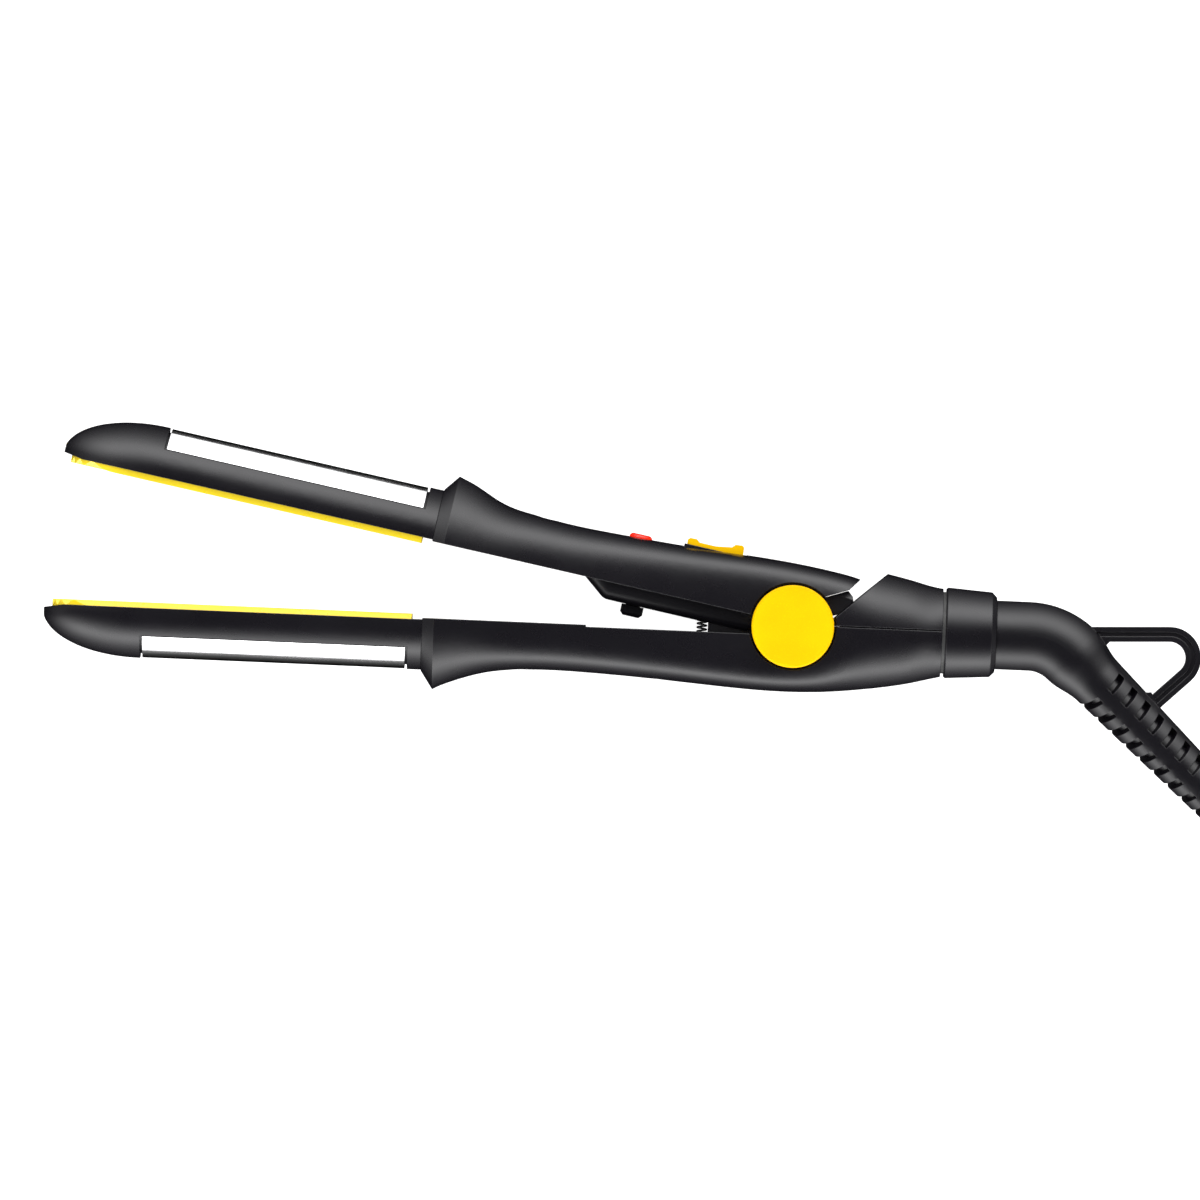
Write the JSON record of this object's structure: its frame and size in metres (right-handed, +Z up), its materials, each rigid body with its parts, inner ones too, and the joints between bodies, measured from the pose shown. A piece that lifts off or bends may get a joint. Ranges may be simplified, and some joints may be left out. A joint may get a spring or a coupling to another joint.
{
  "type": "hair crimper",
  "caption": "Scissor-style hair crimper with two ridged heated plates, a sprung hinge with round caps, a rocker switch and an angled swivel cord guard with a hanging eye.",
  "frame": {"origin": "on the hinge axis, in the flat outer face of the lower hinge cap, which lies on the table", "axes": "+Z up along the hinge axis, +X along the lower arm towards the cord, +Y towards the side that the upper arm opens to"},
  "size_m": [0.3151, 0.1027, 0.0324],
  "materials": {
    "barrel_plastic": "satin heat-resistant moulded plastic",
    "handle_plastic": "satin moulded plastic with a fine texture",
    "inner_plastic": "fine matt moulded plastic",
    "polished_metal": "polished bright",
    "yellow_ceramic": "aluminium with a glossy yellow ceramic coating",
    "yellow_plastic": "satin moulded plastic",
    "heater_ceramic": "matt sintered heating ceramic",
    "insulator_film": "amber insulating film",
    "spring_steel": "bright spring steel",
    "screw_steel": "dark zinc plated",
    "pin_steel": "ground steel",
    "washer_nylon": "black nylon",
    "contact_brass": "bright contact metal",
    "guard_rubber": "satin flexible moulding",
    "red_lens": "clear red moulded lens",
    "lamp_glass": "lamp body",
    "board_laminate": "green circuit board laminate",
    "component_epoxy": "moulded component bodies",
    "thermostat_case": "pale ceramic case",
    "fuse_metal": "thin metal can"
  },
  "bodies": {
    "lower_arm": {"lower_barrel": "barrel_plastic", "lower_back_plate": "polished_metal", "lower_crimp_plate": "yellow_ceramic", "lower_heater": "heater_ceramic", "lower_heater_insulator": "insulator_film", "lower_heater_clip": "spring_steel", "lower_plate_screws": "screw_steel", "lower_handle_shell": "handle_plastic", "lower_handle_cover": "inner_plastic", "rear_cover": "handle_plastic", "lower_casing_screws": "screw_steel", "hinge_pin": "pin_steel", "hinge_washers": "washer_nylon", "hinge_cap_front": "yellow_plastic", "hinge_cap_rear": "yellow_plastic", "opening_spring": "spring_steel", "brush_holder": "inner_plastic", "brushes": "contact_brass", "swivel_washer": "washer_nylon"},
    "upper_arm": {"upper_barrel": "barrel_plastic", "upper_back_plate": "polished_metal", "upper_crimp_plate": "yellow_ceramic", "upper_heater": "heater_ceramic", "upper_heater_insulator": "insulator_film", "upper_heater_clip": "spring_steel", "upper_plate_screws": "screw_steel", "upper_handle_shell": "handle_plastic", "upper_handle_cover": "inner_plastic", "upper_casing_screw": "screw_steel", "alignment_peg": "inner_plastic", "switch_housing": "inner_plastic", "indicator_lens": "red_lens", "indicator_lamp": "lamp_glass", "circuit_board": "board_laminate", "board_components": "component_epoxy", "thermostat": "thermostat_case", "thermal_fuse": "fuse_metal"},
    "switch": {"switch_rocker": "yellow_plastic"},
    "cord_swivel": {"swivel_collar": "handle_plastic", "swivel_spindle": "inner_plastic", "slip_rings": "contact_brass", "cord_guard": "guard_rubber"}
  },
  "joints": [
    {"name": "arm_hinge", "type": "hinge", "parent": "lower_arm", "child": "upper_arm", "pos_m": [0, 0, 0.0162], "axis": [0, 0, 1], "range_deg": [0, 10.8], "stiffness_Nm_per_rad": 0.5, "springref_deg": -10.89, "deforming": ["opening_spring"]},
    {"name": "switch_rock", "type": "hinge", "parent": "upper_arm", "child": "switch", "pos_m": [-0.02019, 0.0166, 0.0162], "axis": [0, 0, 1], "range_deg": [-9, 0]},
    {"name": "cord_turn", "type": "hinge", "parent": "lower_arm", "child": "cord_swivel", "pos_m": [0.0382, 0, 0.0162], "axis": [1, 0, 0], "continuous": true}
  ]
}
